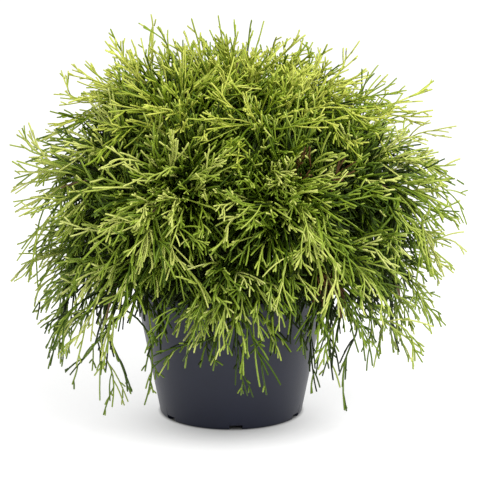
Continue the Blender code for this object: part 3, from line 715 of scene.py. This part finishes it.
def notch_angles():
    """Centre angles of the drainage notches."""
    return np.radians(NOTCH_TURN - 90 + np.arange(NOTCH_COUNT) * 360 / NOTCH_COUNT)


def pot_inner_radius(height):
    low, top_light = POT_HEEL_RADIUS - POT_WALL, POT_RIM_RADIUS - POT_RIM_LIP - POT_WALL
    share = (height - POT_HEEL_HEIGHT) / (POT_HEIGHT - POT_RIM_DEPTH - POT_HEEL_HEIGHT)
    return low + (top_light - low) * share


def arc(centre, radii, first, last, count):
    """Points of an elliptic arc, between two angles in degrees."""
    angles = np.radians(np.linspace(first, last, count))
    return np.column_stack([centre[0] + radii[0] * np.cos(angles), centre[1] + radii[1] * np.sin(angles)])


def pot_profile():
    """The wall's rounded outline, from the underside's middle, up the outside and down the inside."""
    under_rim = POT_HEIGHT - POT_RIM_DEPTH
    foot_inside = POT_FOOT_RADIUS - POT_FOOT_WIDTH
    floor = POT_FOOT_HEIGHT + POT_WALL
    heel = (POT_HEEL_RADIUS - POT_FOOT_RADIUS, POT_HEEL_HEIGHT)
    round_edge = 0.0007
    wall_top = POT_RIM_RADIUS - POT_RIM_LIP
    inner_top = pot_inner_radius(POT_HEIGHT)
    parts = [
        np.array([[0.0001, POT_FOOT_HEIGHT], [foot_inside - 0.002, POT_FOOT_HEIGHT]]),
        arc((foot_inside - round_edge, POT_FOOT_HEIGHT - round_edge), (round_edge,) * 2, 90, 0, 4),
        arc((foot_inside + round_edge, round_edge), (round_edge,) * 2, 180, 270, 4),
        arc((POT_FOOT_RADIUS, POT_HEEL_HEIGHT), heel, 270, 360, 10),
        np.column_stack([
            np.linspace(POT_HEEL_RADIUS, wall_top, 12)[1:-1],
            np.linspace(POT_HEEL_HEIGHT, under_rim, 12)[1:-1],
        ]),
        arc((wall_top + round_edge, under_rim - round_edge), (round_edge,) * 2, 180, 90, 4),
        arc((POT_RIM_RADIUS - round_edge, under_rim + round_edge), (round_edge,) * 2, 270, 360, 4),
        arc((POT_RIM_RADIUS - round_edge, POT_HEIGHT - round_edge), (round_edge,) * 2, 0, 90, 4),
        arc((inner_top + round_edge, POT_HEIGHT - round_edge), (round_edge,) * 2, 90, 180, 4),
        np.array([[pot_inner_radius(floor), floor], [0.0001, floor]]),
    ]
    return np.concatenate(parts)


def make_pot(sides):
    """The pot as its profile carried round Z. Within a notch, the foot ring's points are lifted."""
    half = NOTCH_WIDTH / 2 / POT_FOOT_RADIUS
    slip = 1e-5
    edges = np.concatenate([notch_angles() + sign * (half + shift) for sign in (-1, 1) for shift in (-slip, slip)])
    angles = np.unique(np.concatenate([np.arange(sides) * 2 * math.pi / sides, edges % (2 * math.pi)]))
    apart = np.abs((angles[:, None] - notch_angles()[None] + math.pi) % (2 * math.pi) - math.pi)
    notched = apart.min(axis=1) < half
    profile = pot_profile()
    radius, height = profile[:, None, 0], profile[:, None, 1]
    outside = (np.arange(len(profile)) < len(profile) - 2)[:, None]
    lifted = np.where(notched[None] & outside, np.maximum(height, NOTCH_HEIGHT), height)
    points = np.stack([radius * np.cos(angles), radius * np.sin(angles), lifted], axis=-1)
    middles = np.array([[0, 0, POT_FOOT_HEIGHT], [0, 0, POT_FOOT_HEIGHT + POT_WALL]])
    pot = mesh_object("pot_body", *closed_grid(points, middles))
    cut_drains(pot)
    pot.data.set_sharp_from_angle(angle=math.radians(POT_SHARP))
    return add_piece(pot, pot_material(), ("pot",))


def cut_drains(pot):
    """Cuts a round drain hole through the pot's floor between every two notches."""
    ends = np.array([POT_FOOT_HEIGHT - 0.002, POT_FOOT_HEIGHT + POT_WALL + 0.002])
    holes = []
    for angle in notch_angles() + math.pi / NOTCH_COUNT:
        x, y = DRAIN_RING * math.cos(angle), DRAIN_RING * math.sin(angle)
        path = np.column_stack([[x, x], [y, y], ends])
        holes.append(limb_surface(path, np.full((2, 1), DRAIN_RADIUS), 24, 0.0, 0))
    cutter = mesh_object("drain_cutter", *joined(holes))
    cut = pot.modifiers.new("drains", "BOOLEAN")
    cut.operation = "DIFFERENCE"
    cut.solver = "EXACT"
    cut.object = cutter
    drilled = bpy.data.meshes.new_from_object(pot.evaluated_get(bpy.context.evaluated_depsgraph_get()))
    pot.modifiers.clear()
    pot.data = drilled
    bpy.data.objects.remove(cutter)


def lumps(x, y, scale, seed):
    """A rough surface: the sum of waves in random directions, each half as tall and twice as fine."""
    rng = np.random.default_rng(seed)
    total = np.zeros_like(x)
    for octave in range(5):
        for _ in range(5):
            angle, phase = rng.uniform(0, 2 * math.pi, 2)
            wave = 2 * math.pi * 2 ** octave / scale
            total += np.sin((x * math.cos(angle) + y * math.sin(angle)) * wave + phase) / 2 ** octave
    return total / 5


def make_compost(sides, rings):
    """The fill, from the floor's middle up inside the pot's wall and over its crumbly top."""
    edge = pot_inner_radius(COMPOST_TOP) - 0.0006
    radius = edge * np.linspace(1, 0.002, rings)[:, None]
    angles = (np.arange(sides) * 2 * math.pi / sides)[None]
    x, y = radius * np.cos(angles), radius * np.sin(angles)
    fade = 1 - (radius / edge) ** 6
    top = COMPOST_TOP - 0.0015 + 0.0011 * lumps(x, y, 0.03, 7) * fade + 0 * x
    floor = POT_FOOT_HEIGHT + POT_WALL + CLEARANCE
    sink = np.array([[0.0002], [pot_inner_radius(floor) - 0.0006]])
    under = np.stack([sink * np.cos(angles), sink * np.sin(angles), 0 * sink * angles + floor], axis=-1)
    points = np.concatenate([under, np.stack([x, y, top], axis=-1)])
    middles = np.array([[0, 0, floor], [0, 0, top[-1].mean()]])
    compost = mesh_object("compost_fill", *closed_grid(points, middles))
    return add_piece(compost, compost_material(), ("compost",))


def limb_surface(path, radii, sides, ridge, seed):
    """A limb's bark: rings round a path, whose radius is raised by ridges that run along it."""
    rng = np.random.default_rng(seed)
    angles = np.arange(sides) * 2 * math.pi / sides
    steps = np.linspace(0, 1, len(path))[:, None]
    relief = np.zeros((len(path), sides))
    for count in (5, 8, 13):
        drift = rng.uniform(-2, 2)
        relief += np.sin(count * angles[None] + drift * 6 * steps + rng.uniform(0, 6.28)) / 3
    relief += 0.5 * np.sin(47 * steps + 3 * np.sin(2 * angles[None]))
    tangents = unit(np.gradient(path, axis=0))
    side = np.array((0.0, 0.0, 1.0)) if abs(tangents[0][2]) < 0.9 else np.array((1.0, 0.0, 0.0))
    first = unit(side - tangents * (tangents @ side)[:, None])
    second = np.cross(tangents, first)
    width = radii + ridge * relief
    rings = np.cos(angles)[None, :, None] * first[:, None] + np.sin(angles)[None, :, None] * second[:, None]
    points = path[:, None] + width[:, :, None] * rings
    return closed_grid(points, path[[0, -1]])


def make_trunk(sides, rings):
    """The trunk: its taper, lobed flare and bark relief."""
    share = np.linspace(0, 1, rings)
    heights = TRUNK_FOOT + (TRUNK_TOP - TRUNK_FOOT) * share ** 1.3
    share = (heights - TRUNK_FOOT) / (TRUNK_TOP - TRUNK_FOOT)
    angles = np.arange(sides) * 2 * math.pi / sides
    taper = TRUNK_RADIUS + (TRUNK_TIP_RADIUS - TRUNK_RADIUS) * share
    flare = FLARE_RADIUS * np.exp(-(heights - TRUNK_FOOT) / FLARE_HEIGHT)
    radii = taper[:, None] + flare[:, None] * (0.7 + 0.3 * np.cos(FLARE_LOBES * angles[None]))
    surface = limb_surface(trunk_centre(heights), radii, sides, 0.0004, 3)
    return add_piece(mesh_object("trunk_bark", *surface), bark_material(), ("trunk",))


def make_boughs(all_branches, sides, rings):
    """Every bough from inside the trunk to its mass, with bark relief, as one piece."""
    parts, names = [], []
    for number, branch in enumerate(all_branches):
        if not branch.bough_end:
            continue
        shares = np.linspace(0.01, branch.bough_end + 0.02, rings)
        radii = np.linspace(BOUGH_RADIUS[branch.ring], BOUGH_TIP_RADIUS, rings)[:, None]
        parts.append(limb_surface(branch.points(shares), radii, sides, 0.00022, number))
        names.append(f"bough_{branch.name}")
    boughs = mesh_object("boughs_bark", *joined(parts))
    return add_piece(boughs, bpy.data.materials["bark"], names)


# Foliage

class Shoots:
    """Collects cords by tier and colour, and makes them into pieces of a limited size."""

    def __init__(self, kind):
        self.kind = kind
        self.parts = {}

    def add(self, paths, radii, faces, tiers, colours):
        """Adds the cords that end within the crown's reach and stay out of the pot, by tier and colour."""
        x, y, z = paths[:, -1].T
        top = CORD_HEIGHTS[1] if paths.shape[1] > SIDE_POINTS else SIDE_TOP
        within = (np.hypot(x - FURTHEST_LEAN, y) < FURTHEST_CORD) & (z > CORD_HEIGHTS[0]) & (z < top)
        over_pot = np.hypot(paths[:, :, 0], paths[:, :, 1]) < POT_RIM_RADIUS + POT_MARGIN
        within &= ~(over_pot & (paths[:, :, 2] < POT_HEIGHT + POT_MARGIN)).any(axis=1)
        paths, radii, faces, tiers, colours = (each[within] for each in (paths, radii, faces, tiers, colours))
        for tier in np.unique(tiers):
            for colour in np.unique(colours):
                chosen = (tiers == tier) & (colours == colour)
                if chosen.any():
                    made = cords(paths[chosen], radii[chosen], faces[chosen])
                    self.parts.setdefault((TIERS[tier], COLOUR_NAMES[colour]), []).append(made)

    def make(self, nodes_of_tier):
        """A piece for each tier and colour, or several where it has many faces."""
        for (tier, colour), parts in sorted(self.parts.items()):
            batches, faces = [[]], 0
            for part in parts:
                size = 2 * len(part[1]) + len(part[2])
                if batches[-1] and faces + size > PIECE_TRIANGLES:
                    batches.append([])
                    faces = 0
                batches[-1].append(part)
                faces += size
            for number, batch in enumerate(batches, 1):
                obj = mesh_object(f"{self.kind}_{tier}_{colour}_{number}", *joined(batch))
                add_piece(obj, bpy.data.materials[f"foliage_{tier}_{colour}"], nodes_of_tier[tier])


def along_path(paths, share):
    """The point at a share of each path."""
    steps = paths.shape[1] - 1
    place = np.clip(share * steps, 0, steps - 1e-6)
    index = place.astype(int)
    part = (place - index)[..., None]
    rows = np.arange(len(paths))
    return paths[rows, index] * (1 - part) + paths[rows, index + 1] * part


def side_shoots(paths, faces, share, side, length, angle, bend, points, rng):
    """Shoots that leave paths at shares of them, to one side in the flat of the spray.

    At a distance s a shoot points along heading + 2 s * (bend * parent's heading - fall * up + chance),
    so it curves towards its parent's heading and droops, more so low in the crown. Its points are the
    sum of equal steps along that.
    """
    start = along_path(paths, share)
    ahead = unit(along_path(paths, np.minimum(share + 0.04, 1.0)) - along_path(paths, share - 0.04))
    aside = unit(np.cross(faces, ahead)) * side[:, None]
    lift = faces * rng.normal(0, 0.25, len(faces))[:, None]
    heading = unit(ahead * np.cos(angle)[:, None] + (aside + lift) * np.sin(angle)[:, None])
    step = (length / (points - 1))[:, None, None]
    distance = (np.arange(points - 1) + 0.5)[None, :, None] * step
    weep = np.clip((WEEP_HEIGHTS[0] - start[:, 2]) / (WEEP_HEIGHTS[0] - WEEP_HEIGHTS[1]), 0, 1)
    droop = np.stack([0 * weep, 0 * weep, SIDE_FALL[0] + SIDE_FALL[1] * weep], axis=1)
    curve = bend * ahead - droop + rng.normal(0, CORD_WANDER, ahead.shape)
    steps = unit(heading[:, None] + 2 * distance * curve[:, None]) * step
    return start[:, None] + np.concatenate([0 * steps[:, :1], np.cumsum(steps, axis=1)], axis=1)


def deal(tones, rng):
    """Colour numbers for cords of a tone from 0, old and shaded, to 1, the youngest tips."""
    place = np.clip(tones + rng.normal(0, 0.11, len(tones)), 0, 0.999)
    return np.searchsorted(TONE_STEPS, place, side="right")


def lowness(points):
    """0 down to the pot's rim, and 1 from halfway down the pot, where the shoots hang in its shade."""
    return np.clip((0.14 - points[:, 2]) / 0.06, 0, 1)


def tones_of(points, shade):
    """Tones by age and painted light and shade: lighter at the outline and top, darker inside and low down."""
    # Near the outline the tips are young and gold. Deeper in, the darker colour is partly painted shade
    outer = np.clip((share_of_outline(points) - 0.74) / 0.24, 0, 1)
    # Painted light from above: the higher the shoots, the lighter their colour
    top_light = np.clip((points[:, 2] - 0.08) / 0.36, 0, 1)
    # Low down in the pot's shade and in the shaded sets, the tone drops: painted shade
    return 0.54 * outer * outer * (3 - 2 * outer) + 0.39 * top_light - 0.05 * lowness(points) - 0.12 - shade


def grow(threads, shade, cordlets, shoots, rng):
    """Adds threads with their side cords and cordlets, each spray near one tone of its own."""
    paths, faces, tiers = threads.paths, threads.faces, threads.tiers
    count = len(paths)
    step = np.linspace(0, 1, THREAD_POINTS)[None]
    own = rng.normal(0, 0.16, count) + np.where(rng.random(count) < 0.10, 0.16, 0.0)
    width = rng.uniform(0.90, 1.14, (count, 1)) * (1 + SHADED_WIDTH * shade)
    radii = width * (THREAD_RADII[0] + (THREAD_RADII[1] - THREAD_RADII[0]) * step ** 0.7)

    def colours(points, lift, chosen=slice(None)):
        own_tone = own[chosen] * (1 - 0.6 * lowness(points))
        dealt = deal(tones_of(points, shade) + own_tone + lift, rng)
        dry = np.linalg.norm(points[:, None] - DRY_PLACES, axis=-1).min(axis=1) < DRY_REACH
        return np.where(dry, BROWN, dealt)

    half = THREAD_POINTS // 2
    shoots.add(paths[:, : half + 1], radii[:, : half + 1], faces, tiers, colours(paths[:, half // 2], -0.05))
    shoots.add(paths[:, half:], radii[:, half:], faces, tiers, colours(paths[:, -3], 0.0))
    first_side = rng.integers(0, 2, count)
    size = rng.uniform(0.7, 1.25, count)
    for number in range(SIDE_CORDS):
        part = (number + rng.uniform(0.1, 0.9, count)) / SIDE_CORDS
        share = SIDE_PLACES[0] + (SIDE_PLACES[1] - SIDE_PLACES[0]) * part
        side = np.where((number + first_side) % 2, 1.0, -1.0)
        length = size * (SIDE_LENGTH[0] + (SIDE_LENGTH[1] - SIDE_LENGTH[0]) * part)
        length *= rng.uniform(0.6, 1.25, count)
        angle = np.radians(rng.uniform(*SIDE_ANGLE, count))
        cords_out = side_shoots(paths, faces, share, side, length, angle, SIDE_BEND, SIDE_POINTS, rng)
        side_radii = width * np.interp(np.linspace(0, 2, SIDE_POINTS), (0, 1, 2), CORD_RADII)[None]
        shoots.add(cords_out, side_radii, faces, tiers, colours(cords_out[:, 2], 0.04))
        for cordlet in range(cordlets):
            chosen = (rng.random(count) < 0.65) & (length > 0.014)
            few = int(chosen.sum())
            at = 0.28 + 0.55 * (cordlet + rng.uniform(0, 0.9, few)) / cordlets
            turn = np.where((cordlet + number) % 2, 1.0, -1.0) * np.ones(few)
            reach = rng.uniform(*CORDLET_LENGTH, few)
            slant = np.radians(rng.uniform(*CORDLET_ANGLE, few))
            tips = side_shoots(cords_out[chosen], faces[chosen], at, turn, reach, slant, 20.0, 3, rng)
            tip_radii = width[chosen] * np.array(CORD_RADII)[None]
            shoots.add(tips, tip_radii, faces[chosen], tiers[chosen], colours(tips[:, -1], 0.08, chosen))


def make_foliage(settings):
    """Grows the masses' threads and cords, coloured by age, and by depth and height as painted light and shade."""
    all_branches = branches()
    tiers = np.array([TIERS.index("upper" if each.ring == "top" else each.ring) for each in all_branches])
    nodes = {
        name: [f"foliage_{each.name}" for each, tier in zip(all_branches, tiers) if TIERS[tier] == name]
        for name in TIERS
    }
    for name in COLOUR_NAMES:
        for tier in TIERS:
            foliage_material(name, tier)
    shoots = Shoots("shoots")
    calm = {"bend": FINE_BEND, "wander": FINE_WANDER, "listed": None}
    outer = {**calm, "depth": (0.68, 0.91), "runners": 0.05, "upstream": 0.12, "lowest": -26.0,
             "highest": 42.0, "listed": reaching_tips}
    crest = {**calm, "depth": (0.72, 0.94), "runners": 0.06, "upstream": 0.10, "lowest": 28.0, "lean": 0.22}
    low = {**calm, "depth": (0.67, 0.94), "runners": 0.10, "upstream": 0.06, "lowest": -34.0,
           "highest": -2.0}
    curtain = {**calm, "depth": (0.74, 1.00), "upstream": 0.05, "drop": 7.0, "highest": 32.0,
               "front": -0.76}
    inner = {"depth": (0.50, 0.78), "runners": 0.0, "upstream": 0.06, "listed": None}
    heart = {"depth": (0.30, 0.60), "runners": 0.0, "upstream": 0.04, "lowest": -60.0, "listed": None}
    # Each set: count, seed, a painted shade that darkens its colours, cordlets on each side cord, and rule
    sets = (
        (THREAD_COUNT, SEED, 0.0, 2, {}),
        (settings.outer_threads, SEED + 1, 0.0, 1, outer),
        (settings.crest_threads, SEED + 6, 0.0, 1, crest),
        (settings.low_threads, SEED + 3, 0.0, 1, low),
        (settings.front_threads, SEED + 4, 0.0, 1, curtain),
        (settings.inner_threads, SEED + 2, 0.30, 0, inner),
        (settings.heart_threads, SEED + 5, 0.45, 0, heart),
    )
    for count, seed, shade, cordlets, rule in sets:
        threads = Threads(count, seed, all_branches, **rule)
        threads.tiers = tiers[threads.owner]
        grow(threads, shade, cordlets, shoots, np.random.default_rng(seed + 77))
    shoots.make(nodes)
    make_stems(all_branches, tiers, nodes)


def make_stems(all_branches, tiers, nodes):
    """The masses' woody stems, which carry the threads."""
    for number, tier in enumerate(TIERS):
        parts = []
        for branch, own in zip(all_branches, tiers):
            if own == number:
                shares = np.linspace(branch.bough_end, branch.stem_share(1.0), 14)
                radii = np.linspace(BOUGH_TIP_RADIUS, 0.0010, 14)[:, None]
                parts.append(limb_surface(branch.points(shares), radii, 8, 0.0001, 5))
        stems = mesh_object(f"stems_{tier}", *joined(parts))
        add_piece(stems, bpy.data.materials["bark"], nodes[tier])


# Settings, operators and panel

class FoliageSettings(bpy.types.PropertyGroup):
    outer_threads: bpy.props.IntProperty(
        name="Outer threads", description="Threads near the outline besides the solids' own", default=1450
    )
    crest_threads: bpy.props.IntProperty(
        name="Crest threads", description="Upright threads added to the crown's top", default=1600
    )
    low_threads: bpy.props.IntProperty(
        name="Low threads", description="Threads added to the lower half, which weeps", default=340
    )
    front_threads: bpy.props.IntProperty(
        name="Front threads", description="Threads added to the fringe that hides the pot's rim", default=2600
    )
    inner_threads: bpy.props.IntProperty(
        name="Inner threads", description="Short threads deep in the crown", default=1300
    )
    heart_threads: bpy.props.IntProperty(
        name="Heart threads", description="Old threads round the trunk, which hide the sky behind", default=700
    )


class PotSettings(bpy.types.PropertyGroup):
    sides: bpy.props.IntProperty(name="Sides", description="Steps round the pot", default=192)


class WoodSettings(bpy.types.PropertyGroup):
    sides: bpy.props.IntProperty(name="Sides", description="Steps round a limb", default=24)
    rings: bpy.props.IntProperty(name="Rings", description="Steps along a limb", default=60)


class StageSettings(bpy.types.PropertyGroup):
    floor_size: bpy.props.FloatProperty(
        name="Floor size", description="Width of the floor", default=12.0, unit="LENGTH"
    )
    sky: bpy.props.FloatProperty(name="Sky", description="Strength of the soft light all round", default=0.62)
    key: bpy.props.FloatProperty(name="Key", description="Power of the lamp above, in watts", default=98.0)


class CYPRESS_OT_pot(bpy.types.Operator):
    """Makes the moulded pot"""

    bl_idname = "cypress.pot"
    bl_label = "Pot"

    def execute(self, context):
        make_pot(context.scene.cypress_pot.sides)
        return {"FINISHED"}


class CYPRESS_OT_compost(bpy.types.Operator):
    """Makes the compost that fills the pot"""

    bl_idname = "cypress.compost"
    bl_label = "Compost"

    def execute(self, context):
        make_compost(120, 60)
        return {"FINISHED"}


class CYPRESS_OT_wood(bpy.types.Operator):
    """Makes the trunk and the boughs with their bark"""

    bl_idname = "cypress.wood"
    bl_label = "Trunk and boughs"

    def execute(self, context):
        settings = context.scene.cypress_wood
        make_trunk(settings.sides, settings.rings)
        make_boughs(branches(), settings.sides // 2, settings.rings // 2)
        return {"FINISHED"}


class CYPRESS_OT_foliage(bpy.types.Operator):
    """Grows the threads, side cords and cordlets of every mass"""

    bl_idname = "cypress.foliage"
    bl_label = "Foliage"

    def execute(self, context):
        make_foliage(context.scene.cypress_foliage)
        return {"FINISHED"}


class CYPRESS_OT_stage(bpy.types.Operator):
    """Makes the floor, the lights, the sky and the camera"""

    bl_idname = "cypress.stage"
    bl_label = "Stage"

    def execute(self, context):
        settings = context.scene.cypress_stage
        half = settings.floor_size / 2
        corners = np.array([[-half, -half, 0], [half, -half, 0], [half, half, 0], [-half, half, 0]])
        floor = mesh_object("floor", corners, [[0, 1, 2, 3]])
        floor.data.materials.append(floor_material())
        world = bpy.data.worlds.new("sky")
        world.use_nodes = True
        background = world.node_tree.nodes["Background"]
        background.inputs["Color"].default_value = (1, 1, 1, 1)
        seen = world.node_tree.nodes.new("ShaderNodeLightPath").outputs["Is Camera Ray"]
        share = world.node_tree.nodes.new("ShaderNodeMapRange")
        share.inputs["To Min"].default_value = settings.sky
        share.inputs["To Max"].default_value = 1.0
        world.node_tree.links.new(seen, share.inputs["Value"])
        world.node_tree.links.new(share.outputs["Result"], background.inputs["Strength"])
        context.scene.world = world
        add_lamp("key", (1.0, -1.4, 2.65), 2.0, settings.key)
        add_camera()
        context.scene.view_settings.view_transform = "Standard"
        return {"FINISHED"}


def add_lamp(name, place, size, power):
    """A square lamp that faces the crown."""
    lamp = bpy.data.lights.new(name, "AREA")
    lamp.energy = power
    lamp.size = size
    obj = bpy.data.objects.new(name, lamp)
    obj.location = place
    away = np.array(place) - CROWN_CENTRE
    level = math.hypot(away[0], away[1])
    obj.rotation_euler = (math.atan2(level, away[2]), 0, math.atan2(away[1], away[0]) + math.pi / 2)
    bpy.context.scene.collection.objects.link(obj)


def add_camera():
    """The picture's camera: a long lens, a little above the crown's middle."""
    camera = bpy.data.cameras.new("camera")
    camera.sensor_width = 36.0
    camera.lens = camera.sensor_width * CAMERA_DISTANCE / PICTURE_WIDTH
    obj = bpy.data.objects.new("camera", camera)
    rise = math.radians(CAMERA_ELEVATION)
    away = np.array((0.0, -math.cos(rise), math.sin(rise))) * CAMERA_DISTANCE
    obj.location = np.array(CAMERA_AIM) + away
    obj.rotation_euler = (math.pi / 2 - rise, 0, 0)
    bpy.context.scene.collection.objects.link(obj)
    bpy.context.scene.camera = obj


class CYPRESS_PT_panel(bpy.types.Panel):
    """The cypress's pieces and settings"""

    bl_idname = "CYPRESS_PT_panel"
    bl_label = "Potted Cypress"
    bl_space_type = "VIEW_3D"
    bl_region_type = "UI"
    bl_category = "Cypress"

    def draw(self, context):
        for kind in OPERATORS:
            self.layout.operator(kind.bl_idname)
        for name, group in GROUPS.items():
            settings = getattr(context.scene, name)
            for field in group.__annotations__:
                self.layout.prop(settings, field)


GROUPS = {
    "cypress_foliage": FoliageSettings,
    "cypress_pot": PotSettings,
    "cypress_wood": WoodSettings,
    "cypress_stage": StageSettings,
}
OPERATORS = (CYPRESS_OT_stage, CYPRESS_OT_pot, CYPRESS_OT_compost, CYPRESS_OT_wood, CYPRESS_OT_foliage)
CLASSES = (*GROUPS.values(), *OPERATORS, CYPRESS_PT_panel)


def register():
    for each in CLASSES:
        bpy.utils.register_class(each)
    for name, group in GROUPS.items():
        setattr(bpy.types.Scene, name, bpy.props.PointerProperty(type=group))


def unregister():
    for name in GROUPS:
        delattr(bpy.types.Scene, name)
    for each in reversed(CLASSES):
        bpy.utils.unregister_class(each)


def main():
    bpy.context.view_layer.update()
    register()
    bpy.ops.cypress.stage()
    bpy.ops.cypress.pot()
    bpy.ops.cypress.compost()
    bpy.ops.cypress.wood()
    bpy.ops.cypress.foliage()


if __name__ == "__main__":
    main()
